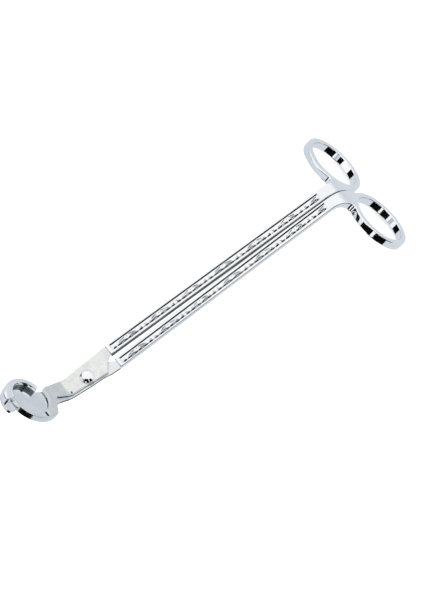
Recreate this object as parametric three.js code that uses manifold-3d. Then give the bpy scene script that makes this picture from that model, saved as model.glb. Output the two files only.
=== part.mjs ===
// Wick trimmer: two crossed levers on one rivet. Millimetres, +Z up.
//
// The origin is on the pivot axis, at the flat end of the rivet's tail. +X runs back
// along the handles to the finger rings, +Y is the side of the upper lever's ring.
// Every lever piece is drawn flat, as a sheet-metal blank is: x along the lever, y
// across it, z through it from the middle of the lap. The blank is then folded about
// lines parallel to Y, up at the head and down at the finger rings.
import * as THREE from 'three';
import { mergeVertices } from 'three/addons/utils/BufferGeometryUtils.js';
import Module from 'manifold-3d';

const wasm = await Module();
wasm.setup();

// ---- driving dimensions -------------------------------------------------------
// They draw a trimmer 179 mm long; SIZE brings the whole tool to its 175 mm.
const SIZE = 0.98;
const STOCK = 3.2;              // thickness of the handle bars
const HALF = STOCK / 2;
const LAP_GAP = 0.4;            // space between the two lapped plates
const PLATE_IN = LAP_GAP / 2;   // lap face of each plate, above or below z = 0
const FIT = 0.15;               // assembly clearance round a brazed tang or a rivet
const EDGE = 0.4;               // rounding on the edges of the castings

const HEAD_FOLD = { at: -9.65, angle: 42, width: 3, creases: 4 };
const RING_FOLD = { at: 125, angle: 60, width: 6, creases: 4 };
const SWELL = { from: 120, to: 132, ratio: 1.19 };  // the castings thicken to the rings

const HEAD_X = -30.35;          // head centre on the flat blank
const HEAD_Y = 1.2;
const HOOK = { fore: -2.9, side: 2.4, outer: 12.4, wall: 0.9, from: -111, to: 3 };
const HOOK_LOW = -1.5;          // lower edge of the hook wall
const RELIEF = { x0: -21, x1: -7.5, y0: 1.8, z: 0.8 };  // lets the tray's neck swing under
const NECK_ARC = { fore: -0.58, side: 1.7, radius: 7.93 };
const GUARD_TOP = 2.8;          // upper edge of the tray's guard wall
const GUARD_SEAT = 0.1;         // braze line under the guard wall
const GUARD_BORE = { fore: 3.0, side: 2.4, radius: 6.35 };
const FLOOR_GAP = 0.3;          // running gap between tray floor and hook wall

const SHOULDER = 13.3;          // front end of the handle bars
const SEAM = 0.6;               // the closed handles meet on this line
const SEAM_GAP = 0.3;
const RING = { outer: 14, hole: 11.45 };

const PANEL = { from: 17.7, to: 119.5, depth: 0.35, width: 2.9 };
const TANG = { length: 5.8, width: 2.4, thickness: 0.7 };

const RIVET = { shank: 1.9, head: 3.0, dome: 1.5, tail: 2.7, tailHeight: 0.8 };
const WASHER = { outer: 3.6, rear: 0.5, spacer: 0.3 };
const SEAT = 0.05;              // air between a washer or rivet head and its plate
const WASHER_LOW = -HALF - SEAT - WASHER.rear;
const TAIL_TOP = WASHER_LOW - SEAT;
const TAIL_END = TAIL_TOP - RIVET.tailHeight;

// ---- materials ----------------------------------------------------------------
const finish = (color, roughness) => new THREE.MeshStandardMaterial({ color, roughness, metalness: 1 });
const POLISHED = finish(0xd9dcde, 0.08);
const SATIN = finish(0xc6cacb, 0.3);
const BRIGHT = finish(0xe2e4e6, 0.05);
const STEEL = finish(0xb4b6b8, 0.35);

// ---- solids -------------------------------------------------------------------
function solid(geometry) {
  const bare = geometry.clone();
  bare.deleteAttribute('normal');
  bare.deleteAttribute('uv');
  const welded = mergeVertices(bare, 1e-4);
  return new wasm.Manifold(new wasm.Mesh({
    numProp: 3,
    vertProperties: new Float32Array(welded.attributes.position.array),
    triVerts: new Uint32Array(welded.index.array),
  }));
}

// Drops points that repeat where one curve of an outline meets the next.
function distinct(points) {
  return points.filter((p, i) => p.distanceTo(points[(i + 1) % points.length]) > 1e-3);
}

function extrude(shape, low, high, edge = 0) {
  const drawn = shape.extractPoints(24);
  const clean = new THREE.Shape(distinct(drawn.shape));
  clean.holes = drawn.holes.map((hole) => new THREE.Path(distinct(hole)));
  const geometry = new THREE.ExtrudeGeometry(clean, {
    depth: high - low - 2 * edge,
    bevelEnabled: edge > 0,
    bevelThickness: edge,
    bevelSize: edge,
    bevelOffset: -edge,
    bevelSegments: 2,
  });
  return solid(geometry.translate(0, 0, low + edge));
}

function box(x0, x1, y0, y1, z0, z1) {
  const geometry = new THREE.BoxGeometry(x1 - x0, y1 - y0, z1 - z0);
  return solid(geometry.translate((x0 + x1) / 2, (y0 + y1) / 2, (z0 + z1) / 2));
}

function turned(profile, segments = 40) {
  const points = profile.map(([r, z]) => new THREE.Vector2(r, z));
  return solid(new THREE.LatheGeometry(points, segments).rotateX(Math.PI / 2));
}

function disc(radius, low, high) {
  return solid(new THREE.CylinderGeometry(radius, radius, high - low, 40)
    .rotateX(Math.PI / 2).translate(0, 0, (low + high) / 2));
}

function outline(points) {
  return new THREE.Shape(points.map(([x, y]) => new THREE.Vector2(x, y)));
}

// ---- folding the flat blank -----------------------------------------------------
const swell = (x) => 1 + (SWELL.ratio - 1)
  * THREE.MathUtils.clamp((x - SWELL.from) / (SWELL.to - SWELL.from), 0, 1);

// A crease is { x, angle }: beyond it, away from the pivot, the blank turns by angle.
function creases({ at, angle, width, creases: count }) {
  return Array.from({ length: count }, (_, i) => ({
    x: at - width / 2 + (width * i) / (count - 1),
    angle: THREE.MathUtils.degToRad(angle / count),
  }));
}

// Runs of blank between creases, walking out from the flat middle in one direction.
function foldedRuns(list, direction) {
  const runs = [];
  const point = { x: list[0].x, z: 0 };
  let turn = 0;
  list.forEach((crease, i) => {
    const before = turn;
    turn += crease.angle;
    runs.push({ x: crease.x, px: point.x, pz: point.z, before, after: turn });
    const next = list[i + 1];
    if (next) {
      const length = Math.abs(next.x - crease.x);
      point.x += direction * length * Math.cos(turn);
      point.z -= direction * length * Math.sin(turn);
    }
  });
  return runs;
}

const HEAD_RUNS = foldedRuns(creases(HEAD_FOLD).reverse(), -1);
const RING_RUNS = foldedRuns(creases(RING_FOLD), 1);

function foldPoint(x, y, z) {
  const runs = x < 0 ? HEAD_RUNS : RING_RUNS;
  const side = x < 0 ? -1 : 1;
  let run = null;
  for (const candidate of runs) {
    if (side * (x - candidate.x) > -1e-4) run = candidate;
  }
  if (!run) return [x, y, z];
  const along = x - run.x;
  if (Math.abs(along) < 1e-4) {
    const mid = (run.before + run.after) / 2;
    const reach = z / Math.cos((run.after - run.before) / 2);
    return [run.px + reach * Math.sin(mid), y, run.pz + reach * Math.cos(mid)];
  }
  const c = Math.cos(run.after);
  const s = Math.sin(run.after);
  return [run.px + along * c + z * s, y, run.pz - along * s + z * c];
}

// Splits every triangle that crosses the plane x = cut, sharing the new points.
function splitAt(mesh, cut) {
  const { points } = mesh;
  const shared = new Map();
  const side = (i) => (Math.abs(points[i][0] - cut) < 1e-4 ? 0 : Math.sign(points[i][0] - cut));
  const crossing = (a, b) => {
    const key = a < b ? `${a}_${b}` : `${b}_${a}`;
    if (!shared.has(key)) {
      const [p, q] = a < b ? [points[a], points[b]] : [points[b], points[a]];
      const t = (cut - p[0]) / (q[0] - p[0]);
      shared.set(key, points.length);
      points.push([cut, p[1] + t * (q[1] - p[1]), p[2] + t * (q[2] - p[2])]);
    }
    return shared.get(key);
  };
  const faces = [];
  for (const face of mesh.faces) {
    const sides = face.map(side);
    if (!(sides.includes(1) && sides.includes(-1))) {
      faces.push(face);
      continue;
    }
    // Start from the corner that is alone on its side, or from the one on the plane.
    const zero = sides.indexOf(0);
    const alone = zero >= 0 ? zero : sides.findIndex((v) => sides.filter((w) => w === v).length === 1);
    const [a, b, c] = [0, 1, 2].map((k) => face[(alone + k) % 3]);
    if (zero >= 0) {
      const m = crossing(b, c);
      faces.push([a, b, m], [a, m, c]);
    } else {
      const m = crossing(a, b);
      const n = crossing(a, c);
      faces.push([a, m, n], [m, b, c], [m, c, n]);
    }
  }
  return { points, faces };
}

function unpack(body) {
  const { vertProperties, triVerts, numProp } = body.getMesh();
  const points = [];
  for (let i = 0; i < vertProperties.length; i += numProp) {
    points.push(Array.from(vertProperties.slice(i, i + 3)));
  }
  const faces = [];
  for (let i = 0; i < triVerts.length; i += 3) faces.push(Array.from(triVerts.slice(i, i + 3)));
  return { points, faces };
}

function piece(name, body, material) {
  let mesh = unpack(body);
  for (const { x } of [...HEAD_RUNS, ...RING_RUNS]) mesh = splitAt(mesh, x);
  for (const x of [SWELL.from, SWELL.to]) mesh = splitAt(mesh, x);
  const geometry = new THREE.BufferGeometry();
  const folded = mesh.points.flatMap(([x, y, z]) => foldPoint(x, y, z * swell(x)))
    .map((v) => v * SIZE);
  geometry.setAttribute('position', new THREE.Float32BufferAttribute(folded, 3));
  geometry.setIndex(mesh.faces.flat());
  geometry.computeVertexNormals();
  const result = new THREE.Mesh(geometry, material);
  result.name = name;
  return result;
}

// ---- head drawing aids ------------------------------------------------------------
// Head points are given as [fore, side]: forward from the head centre, and across.
const onHead = ([fore, side]) => [HEAD_X - fore, HEAD_Y + side];

function headArc({ fore, side }, radius, from, to, steps) {
  return Array.from({ length: steps + 1 }, (_, i) => {
    const angle = THREE.MathUtils.degToRad(from + ((to - from) * i) / steps);
    return [fore + radius * Math.cos(angle), side + radius * Math.sin(angle)];
  });
}

const headShape = (points) => outline(points.map(onHead));

// ---- upper lever: hook blade ----------------------------------------------------------
function hookBlade() {
  const arc = headArc(NECK_ARC, NECK_ARC.radius, 170, 254, 12).map(onHead);
  const tongueEnd = headArc(HOOK, HOOK.outer - HOOK.wall / 2, -90, HOOK.from, 4).map(onHead);
  const plate = outline([
    [13.1, 1.5], [13.1, 5.8], [0, 5.1], [-7.4, 4.9], [-20.2, 4.9],
    ...arc, ...tongueEnd,
    onHead([-9.5, -5.6]), onHead([-11, -3.6]), onHead([-13, -1.9]), [-14.5, -1.3],
    [-8.9, -2.5], [-0.7, -3.0], [4.4, -3.7], [7.8, -3.8], [10.3, -0.4], [11.9, 1.0],
  ]);
  const outer = headArc(HOOK, HOOK.outer, HOOK.from, HOOK.to, 36);
  const inner = headArc(HOOK, HOOK.outer - HOOK.wall, HOOK.to, HOOK.from, 36);
  const wall = extrude(headShape([...outer, ...inner]), HOOK_LOW, HALF);
  const tang = box(13, SHOULDER + TANG.length, 3.6 - TANG.width / 2, 3.6 + TANG.width / 2,
    PLATE_IN, PLATE_IN + TANG.thickness);
  return extrude(plate, PLATE_IN, HALF)
    .add(wall)
    .add(tang)
    .subtract(box(RELIEF.x0, RELIEF.x1, RELIEF.y0, STOCK * 2, 0, RELIEF.z))
    .subtract(disc(RIVET.shank + FIT, -HALF, STOCK));
}

// ---- lower lever: tray plate and guard wall ---------------------------------------------
// Outer edge shared by the tray plate and the guard wall, from tip round to the front.
const GUARD_RIM = [[-5.2, 3.9], [-5.3, 5.9], [-3.9, 8.3], [-2.1, 9.95], [-0.1, 11.0], [3.4, 11.5],
  [6.6, 10.9], [9.3, 9.6], [12.2, 7.4], [13.6, 4.9], [14.0, 3.6]];

function smooth(points, steps) {
  const curve = new THREE.CatmullRomCurve3(points.map(([x, y]) => new THREE.Vector3(x, y, 0)), false, 'centripetal');
  return curve.getPoints(steps).map((p) => [p.x, p.y]);
}

function trayPlate() {
  const floorRadius = HOOK.outer - HOOK.wall - FLOOR_GAP;
  const floor = headArc(HOOK, floorRadius, -118, 4, 32);
  const lip = [[8.3, 3.6], [9.95, 3.6], [9.95, -0.6], [13.6, -0.6], [14.3, 1.2]];
  const rim = smooth(GUARD_RIM, 36).reverse();
  const head = [...floor, ...lip, ...rim, [-6.2, 3.5], [-8.5, 3.0]].map(onHead);
  const plate = outline([
    [13.1, -1.3], [9, 1.2], [5.5, 3.2], [0, 4.5], [-7.4, 4.3], [-16, 4.3],
    ...head.reverse(),
    onHead([-9.6, -5.4]), onHead([-13.4, -4.3]), [-8.5, -3.3], [-1.7, -3.9], [6, -4.3],
    [9, -4.9], [13.1, -5.1],
  ]);
  const tang = box(13, SHOULDER + TANG.length, -3.2 - TANG.width / 2, -3.2 + TANG.width / 2,
    -PLATE_IN - TANG.thickness, -PLATE_IN);
  return extrude(plate, -HALF, -PLATE_IN)
    .add(tang)
    .subtract(disc(RIVET.shank + FIT, -STOCK, HALF));
}

function trayGuard() {
  const bore = headArc(GUARD_BORE, GUARD_BORE.radius, 10, 173, 28);
  const shape = headShape([...smooth(GUARD_RIM, 36).reverse(), ...bore.reverse()].reverse());
  return extrude(shape, GUARD_SEAT - PLATE_IN, GUARD_TOP);
}

// ---- handles: bar, neck and finger ring in one casting --------------------------------------
// side is +1 for the upper lever and -1 for the lower one; y values are given for side +1.
function handle({ side, inner, outer, ring, socketY, socketZ, panel }) {
  const [ringX, ringY] = ring;
  const [frontIn] = inner;
  const lastIn = inner[inner.length - 1];
  const [frontOut, endOut] = outer;
  const shape = new THREE.Shape();
  shape.moveTo(...frontIn);
  inner.slice(1).forEach((point) => shape.lineTo(...point));
  const near = ringY - side * RING.outer;
  shape.bezierCurveTo(lastIn[0] + 6, lastIn[1], ringX - 5, near, ringX, near);
  const leave = THREE.MathUtils.degToRad(205);
  shape.absarc(ringX, ringY, RING.outer, -side * Math.PI / 2, side * leave, side < 0);
  const leaveX = ringX + RING.outer * Math.cos(leave);
  const leaveY = ringY + side * RING.outer * Math.sin(leave);
  shape.bezierCurveTo(leaveX + 1.3, leaveY - side * 2.8, endOut[0] + 5, endOut[1], ...endOut);
  shape.lineTo(...frontOut);
  shape.closePath();
  const hole = new THREE.Path();
  hole.absarc(ringX, ringY, RING.hole, 0, 2 * Math.PI, side > 0);
  shape.holes.push(hole);

  const socket = box(SHOULDER - 1, SHOULDER + TANG.length + FIT, socketY - TANG.width / 2 - FIT,
    socketY + TANG.width / 2 + FIT, socketZ - FIT, socketZ + TANG.thickness + FIT);
  const recess = outline([
    [PANEL.from, panel[0]], [PANEL.to, panel[1]],
    [PANEL.to, panel[1] - PANEL.width], [PANEL.from, panel[0] - PANEL.width],
  ]);
  return extrude(shape, -HALF, HALF, EDGE)
    .subtract(socket)
    .subtract(extrude(recess, HALF - PANEL.depth, HALF + 1));
}

function upperHandle() {
  const y = SEAM + SEAM_GAP / 2;
  return handle({
    side: 1,
    inner: [[SHOULDER, 1.3], [110, 0.85], [129, y]],
    outer: [[SHOULDER, 6.0], [120, 5.6]],
    ring: [140, 14.7],
    socketY: 3.6,
    socketZ: PLATE_IN,
    panel: [5.15, 4.7],
  });
}

function lowerHandle() {
  const y = SEAM - SEAM_GAP / 2;
  return handle({
    side: -1,
    inner: [[SHOULDER, -1.0], [32, -0.4], [55, 0.0], [80, 0.3], [110, 0.4], [129, y]],
    outer: [[SHOULDER, -5.3], [120, -4.35]],
    ring: [141.3, -15.1],
    socketY: -3.2,
    socketZ: -PLATE_IN - TANG.thickness,
    panel: [-1.75, -0.3],
  });
}

// ---- pivot ------------------------------------------------------------------------------------
function pivotRivet() {
  const under = HALF + SEAT;
  const dome = Array.from({ length: 9 }, (_, i) => {
    const angle = (i / 8) * (Math.PI / 2);
    return [RIVET.head * Math.cos(angle), under + 0.3 + (RIVET.dome - 0.3) * Math.sin(angle)];
  });
  dome[8][0] = 0;
  return turned([
    [0, TAIL_END], [RIVET.tail - 0.4, TAIL_END], [RIVET.tail, TAIL_END + 0.4],
    [RIVET.tail, TAIL_TOP], [RIVET.shank, TAIL_TOP], [RIVET.shank, under],
    [RIVET.head, under], ...dome,
  ]);
}

function ringWasher(low, high) {
  const bore = RIVET.shank + FIT;
  const outer = WASHER.outer;
  return turned([[bore, low], [outer, low], [outer, high], [bore, high], [bore, low]]);
}

// ---- assembly -----------------------------------------------------------------------------------
const trimmer = new THREE.Group();
trimmer.name = 'wick_trimmer';

const hookLever = new THREE.Group();
hookLever.add(
  piece('hook_blade', hookBlade(), SATIN),
  piece('upper_handle', upperHandle(), POLISHED),
  piece('pivot_rivet', pivotRivet(), BRIGHT),
  piece('rear_washer', ringWasher(WASHER_LOW, WASHER_LOW + WASHER.rear), STEEL),
  piece('spacer_washer', ringWasher(-WASHER.spacer / 2, WASHER.spacer / 2), STEEL),
);

const trayLever = new THREE.Group();
trayLever.add(
  piece('tray_plate', trayPlate(), SATIN),
  piece('tray_guard', trayGuard(), POLISHED),
  piece('lower_handle', lowerHandle(), POLISHED),
);

trimmer.add(hookLever, trayLever);
trimmer.position.z = -TAIL_END * SIZE;
export default trimmer;
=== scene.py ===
"""Wick trimmer: its polished and satin steel pieces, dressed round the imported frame.

Every lever piece is drawn as a flat blank in drawing millimetres (x along the lever, y
across it, z through it from the middle of the lap), bent up at the head and down at the
finger rings, then brought to real size in the frame of the CAD part.
"""

import logging
import math
from collections.abc import Callable
from dataclasses import dataclass, field
from enum import Enum, IntEnum
from functools import cache

import bmesh
import bpy
import numpy as np
from mathutils import Matrix, Vector
from mathutils.geometry import delaunay_2d_cdt

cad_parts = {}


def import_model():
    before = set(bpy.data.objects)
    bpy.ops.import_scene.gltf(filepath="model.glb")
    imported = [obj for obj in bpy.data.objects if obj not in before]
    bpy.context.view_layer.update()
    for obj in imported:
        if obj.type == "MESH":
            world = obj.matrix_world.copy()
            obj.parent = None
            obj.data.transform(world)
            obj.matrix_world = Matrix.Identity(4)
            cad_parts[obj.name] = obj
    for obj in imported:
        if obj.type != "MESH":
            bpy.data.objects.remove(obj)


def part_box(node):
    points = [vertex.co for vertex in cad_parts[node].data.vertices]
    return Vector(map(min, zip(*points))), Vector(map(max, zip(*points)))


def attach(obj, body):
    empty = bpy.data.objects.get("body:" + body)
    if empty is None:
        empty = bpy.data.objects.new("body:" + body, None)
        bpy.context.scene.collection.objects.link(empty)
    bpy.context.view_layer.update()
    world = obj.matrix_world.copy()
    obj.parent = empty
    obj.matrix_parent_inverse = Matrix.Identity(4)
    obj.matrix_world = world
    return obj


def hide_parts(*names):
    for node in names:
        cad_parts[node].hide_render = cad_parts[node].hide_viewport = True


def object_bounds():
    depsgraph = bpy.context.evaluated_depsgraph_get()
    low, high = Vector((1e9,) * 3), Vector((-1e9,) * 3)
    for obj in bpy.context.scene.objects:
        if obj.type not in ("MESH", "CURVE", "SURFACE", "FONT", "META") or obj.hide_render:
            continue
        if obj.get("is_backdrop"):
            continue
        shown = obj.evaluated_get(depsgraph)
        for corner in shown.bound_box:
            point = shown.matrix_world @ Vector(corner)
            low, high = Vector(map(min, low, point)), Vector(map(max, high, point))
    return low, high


log = logging.getLogger("wick_trimmer")

Point = tuple[float, float]
Loop = list[Point]
Outline = tuple[Point, ...]
Tree = bpy.types.NodeTree
Socket = bpy.types.NodeSocket

MM = 0.001
SIZE = 0.98  # real millimetres in one of the drawing
CRISP = math.radians(50)  # edges sharper than this aren't shaded smooth
WELD = 0.02  # outline points closer than this are one
MITRE_LIMIT = 0.45  # keeps an inset outline's sharp corners short
SNAP = 1e-5  # points this near a cut lie on it
SAME = 1e-6  # points this close are one when a face is filled
FLOOR_GAP = 0.4 * MM


class Lever(Enum):
    """The two moving bodies of the tool."""

    HOOK = "hook_lever"
    TRAY = "tray_lever"


class Slot(Enum):
    """The record's material slots."""

    POLISHED = "polished_steel"
    SATIN = "satin_steel"
    RIVET = "rivet_steel"
    WASHER = "washer_steel"


class Skin(IntEnum):
    """Which part of a piece's surface a face belongs to. Edges between two are crisp."""

    BACK = 0
    BACK_ROUND = 1
    SIDE = 2
    FRONT_ROUND = 3
    FRONT = 4
    RECESS = 5
    RELIEF = 6
    # steep slopes of the ornament, coloured with painted shade
    SHADED_SLOPE = 7


Section = list[tuple[float, float, Skin]]  # inset or radius, z, skin of the faces that follow


# ---- nodes and finishes ----


def srgb(code: str) -> tuple[float, float, float, float]:
    """Turns a hex colour to linear.

    Args:
        code: the sRGB colour, such as "D9DCDE".

    Returns:
        Linear red, green, blue and an alpha of 1.
    """
    parts = [int(code[i : i + 2], 16) / 255 for i in (0, 2, 4)]
    linear = [c / 12.92 if c <= 0.04045 else ((c + 0.055) / 1.055) ** 2.4 for c in parts]
    return (*linear, 1.0)


def add_node(tree: Tree, kind: str, inputs: dict | None = None, **settings: object) -> bpy.types.Node:
    """Adds a node with its settings and links.

    Args:
        tree: the node tree to add to.
        kind: the node's type, such as "ShaderNodeTexNoise".
        inputs: a value, or another node's output, for each input socket.
        settings: the node's own properties.

    Returns:
        The new node.
    """
    made = tree.nodes.new(kind)
    for name, value in settings.items():
        setattr(made, name, value)
    for socket, value in (inputs or {}).items():
        if isinstance(value, Socket):
            tree.links.new(value, made.inputs[socket])
        else:
            made.inputs[socket].default_value = value
    return made


def remap(tree: Tree, value: Socket, before: Point, after: Point = (0.0, 1.0)) -> Socket:
    """Maps a value from one range to another.

    Args:
        tree: the node tree to add to.
        value: the output to map.
        before: the range it has.
        after: the range it gets.

    Returns:
        The output that holds the mapped value.
    """
    ends = {"From Min": before[0], "From Max": before[1], "To Min": after[0], "To Max": after[1]}
    return add_node(tree, "ShaderNodeMapRange", {"Value": value, **ends}).outputs["Result"]


def mixed(tree: Tree, share: Socket, first: str, second: str) -> Socket:
    """Returns the output of a node that mixes two hex colours."""
    colours = {0: share, 6: srgb(first), 7: srgb(second)}
    return add_node(tree, "ShaderNodeMix", colours, data_type="RGBA").outputs[2]


def empty_tree(owner: bpy.types.Material | bpy.types.World) -> Tree:
    """Clears the node tree of a material or world.

    Args:
        owner: the material or world.

    Returns:
        Its empty tree.
    """
    owner.use_nodes = True
    owner.node_tree.nodes.clear()
    return owner.node_tree


def add_object(name: str, data: bpy.types.ID) -> bpy.types.Object:
    """Adds an object to the scene.

    Args:
        name: its name.
        data: its mesh, light or camera.

    Returns:
        The new object.
    """
    made = bpy.data.objects.new(name, data)
    bpy.context.scene.collection.objects.link(made)
    return made


@dataclass(frozen=True)
class MetalFinish:
    """A metal surface with its polishing marks, cloudy tone and fine grain.

    The marks run along the lever. grain_mm is the width of one mark. Real polishing
    marks are far finer, so they are drawn as coarse as they need to show.
    """

    name: str
    light: str
    dark: str
    roughness: tuple[float, float]
    grain_mm: float
    stretch: float  # how many times longer a mark is than wide
    cloud_mm: float
    relief_mm: float
    smooth_head: bool = False
    head_share: float = 0.35  # the buffed head's roughness, as a share
    head_from_mm: float = -6.0
    head_to_mm: float = -11.0

    @cache
    def make(self) -> bpy.types.Material:
        """Builds the node material, the first time that it is asked for.

        Returns:
            The finished material.
        """
        material = bpy.data.materials.new(self.name)
        tree = empty_tree(material)
        place = add_node(tree, "ShaderNodeTexCoord").outputs["Object"]
        fine = 1 / (self.grain_mm * MM)
        scale = (fine / self.stretch, fine, fine)
        along = add_node(tree, "ShaderNodeMapping", {"Vector": place, "Scale": scale}).outputs["Vector"]
        grain = {"Vector": along, "Scale": 1.0, "Detail": 3.0, "Roughness": 0.55}
        marks = add_node(tree, "ShaderNodeTexNoise", grain).outputs["Fac"]
        clouds = {"Vector": place, "Scale": 1 / (self.cloud_mm * MM), "Detail": 4.0}
        cloud = add_node(tree, "ShaderNodeTexNoise", clouds).outputs["Fac"]
        both = add_node(tree, "ShaderNodeMath", {0: marks, 1: cloud}, operation="ADD").outputs["Value"]
        rough = remap(tree, both, (0.7, 1.3), self.roughness)
        if self.smooth_head:
            rough = self.buff_head(tree, place, rough)
        colour = mixed(tree, remap(tree, cloud, (0.35, 0.65)), self.light, self.dark)
        relief = {"Height": marks, "Strength": 1.0, "Distance": self.relief_mm * MM}
        bump = add_node(tree, "ShaderNodeBump", relief).outputs["Normal"]
        metal = {"Base Color": colour, "Metallic": 1.0, "Roughness": rough, "Normal": bump}
        shader = add_node(tree, "ShaderNodeBsdfPrincipled", metal).outputs["BSDF"]
        add_node(tree, "ShaderNodeOutputMaterial", {"Surface": shader})
        return material

    def buff_head(self, tree: Tree, place: Socket, rough: Socket) -> Socket:
        """Polishes the surface further in front of the pivot, where the head is buffed.

        Args:
            tree: the material's nodes.
            place: the place on the object.
            rough: the roughness so far.

        Returns:
            The output that holds the roughness to use.
        """
        along = add_node(tree, "ShaderNodeSeparateXYZ", {0: place}).outputs["X"]
        before = (self.head_to_mm * MM, self.head_from_mm * MM)
        share = remap(tree, along, before, (self.head_share, 1.0))
        scaled = add_node(tree, "ShaderNodeMath", {0: rough, 1: share}, operation="MULTIPLY")
        return scaled.outputs["Value"]


# Chrome plate over a buffed casting: a near mirror, so its edges read as crisp black
# and white bands, with only a faint waviness left by the buffing wheel.
CHROME = MetalFinish(
    "chrome_plated_buffed_casting", light="F4F6F8", dark="ECEFF2", roughness=(0.03, 0.07),
    grain_mm=0.9, stretch=6.0, cloud_mm=14.0, relief_mm=0.0016,
)

# Stainless sheet, satin ground round the pivot and buffed at the head: soft grey with
# fine marks along the lever and a cloudy tone.
SATIN = MetalFinish(
    "satin_ground_stainless_sheet", light="E5E7E5", dark="D9DBD8", roughness=(0.2, 0.3),
    grain_mm=0.35, stretch=9.0, cloud_mm=3.2, relief_mm=0.0012, smooth_head=True,
)

# The same sheet buffed bright: cool, even reflections with a trace of haze.
BRIGHT_SHEET = MetalFinish(
    "buffed_stainless_sheet", light="E6E9EC", dark="DEE2E5", roughness=(0.08, 0.14),
    grain_mm=0.5, stretch=5.0, cloud_mm=6.0, relief_mm=0.001,
)

# Painted shade and dark reflection: the blades' sheared edges and the steep slopes of the
# handles' ornament are coloured dark, dull and grained, which draws the thin black lines.
PAINTED_SHADE_DARK = MetalFinish(
    "painted_shade_dark_steel", light="232527", dark="141617", roughness=(0.35, 0.5),
    grain_mm=0.3, stretch=3.0, cloud_mm=2.0, relief_mm=0.004,
)

# Painted shade on the inside of the tray's guard wall: a charcoal grey that stands in for
# the shade and dark reflections in the hollow, in a cloudy tone.
PAINTED_SHADE_BORE = MetalFinish(
    "painted_shade_guard_bore", light="8A9298", dark="4C5358", roughness=(0.22, 0.34),
    grain_mm=0.5, stretch=4.0, cloud_mm=2.6, relief_mm=0.004,
)

# Painted shade on the flanks where the two handles meet: nearly black, which draws the
# dark seam of shade along the middle of the tool.
PAINTED_SEAM_SHADE = MetalFinish(
    "painted_seam_shade_flank", light="45494D", dark="2A2D30", roughness=(0.28, 0.4),
    grain_mm=0.6, stretch=8.0, cloud_mm=5.0, relief_mm=0.004,
)

# A headed rivet, plated and tumbled bright: a small mirror that gathers the whole studio.
TUMBLED = MetalFinish(
    "bright_plated_rivet", light="F6F7F8", dark="E9EBEC", roughness=(0.03, 0.06),
    grain_mm=0.6, stretch=1.0, cloud_mm=3.0, relief_mm=0.0012,
)

# Punched washers with a plain surface: slightly dull and speckled.
PUNCHED = MetalFinish(
    "punched_plain_steel", light="BFC1C2", dark="A9ABAC", roughness=(0.26, 0.38),
    grain_mm=0.25, stretch=1.5, cloud_mm=1.6, relief_mm=0.002,
)


# ---- bending and drawing aids ----


@dataclass(frozen=True)
class Bend:
    """A smooth bend of the blank about a line parallel to Y.

    side is -1 for the head, in front of the pivot, and 1 for the finger rings. step is
    the longest flat left between two of its cuts.
    """

    start: float
    length: float
    angle: float
    side: int
    step: float

    def place(self, x: float, z: float) -> tuple[float, float]:
        """Moves a point of the blank through the bend.

        Args:
            x: place along the blank.
            z: height over the middle of the lap.

        Returns:
            x and z on the bent lever.
        """
        past = self.side * x - self.start
        if past <= 0:
            return x, z
        full = math.radians(self.angle)
        radius = self.length / full
        turn = min(past / self.length, 1.0) * full
        rest = max(past - self.length, 0.0)
        run = self.start + radius * math.sin(turn) + rest * math.cos(turn)
        drop = radius * (1 - math.cos(turn)) + rest * math.sin(turn)
        return self.side * run + math.sin(turn) * z, z * math.cos(turn) - self.side * drop

    def cuts(self) -> list[float]:
        """Lists the places along x where the blank is cut so that it can bend."""
        count = math.ceil(self.length / self.step)
        return [self.side * (self.start + self.length * i / count) for i in range(count + 1)]


@dataclass(frozen=True)
class Former:
    """The bending jig: both bends, the swelling of the rings and the lift to the frame."""

    lap: float  # height of the lap's middle in the frame, in metres
    head: Bend = Bend(start=7.4, length=4.5, angle=42, side=-1, step=0.3)
    rings: Bend = Bend(start=121.0, length=8.0, angle=60, side=1, step=0.4)
    swell: tuple[float, float] = (120.0, 132.0)
    swell_ratio: float = 1.165
    swell_cuts: int = 17

    def place(self, x: float, y: float, z: float) -> Vector:
        """Brings a point of the flat blank to its place in the frame.

        Args:
            x: along the lever, in drawing millimetres.
            y: across it.
            z: through it.

        Returns:
            The point in the frame, in metres.
        """
        share = min(max((x - self.swell[0]) / (self.swell[1] - self.swell[0]), 0.0), 1.0)
        z *= 1 + (self.swell_ratio - 1) * share * share * (3 - 2 * share)
        bent_x, bent_z = (self.head if x < 0 else self.rings).place(x, z)
        return Vector((bent_x, y, bent_z)) * SIZE * MM + Vector((0, 0, self.lap))

    def cuts(self) -> list[float]:
        """Lists every place where a blank is cut before bending."""
        swell = map(float, np.linspace(*self.swell, self.swell_cuts))
        return sorted({*self.head.cuts(), *self.rings.cuts(), *swell})


def arc(centre: Point, radius: float, start: float, end: float, count: int) -> Loop:
    """Draws an arc.

    Args:
        centre: its centre.
        radius: its radius.
        start: first angle in degrees.
        end: last angle in degrees.
        count: number of chords.

    Returns:
        count + 1 points.
    """
    angles = [math.radians(start + (end - start) * i / count) for i in range(count + 1)]
    return [(centre[0] + radius * math.cos(a), centre[1] + radius * math.sin(a)) for a in angles]


def hole(centre: Point, radius: float, count: int) -> Loop:
    """Draws a round hole's outline, clockwise.

    Args:
        centre: its centre.
        radius: its radius.
        count: number of chords.

    Returns:
        count points.
    """
    return arc(centre, radius, 0, 360, count)[:-1][::-1]


def bezier(a: Point, b: Point, c: Point, d: Point, count: int) -> Loop:
    """Draws a cubic curve.

    Args:
        a: where it starts.
        b: its first handle.
        c: its second handle.
        d: where it ends.
        count: number of chords.

    Returns:
        count points after the start, the last of them d.
    """
    made = []
    for i in range(1, count + 1):
        t = i / count
        k = ((1 - t) ** 3, 3 * t * (1 - t) ** 2, 3 * t * t * (1 - t), t**3)
        made.append(tuple(sum(w * p[axis] for w, p in zip(k, (a, b, c, d))) for axis in (0, 1)))
    return made


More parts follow.
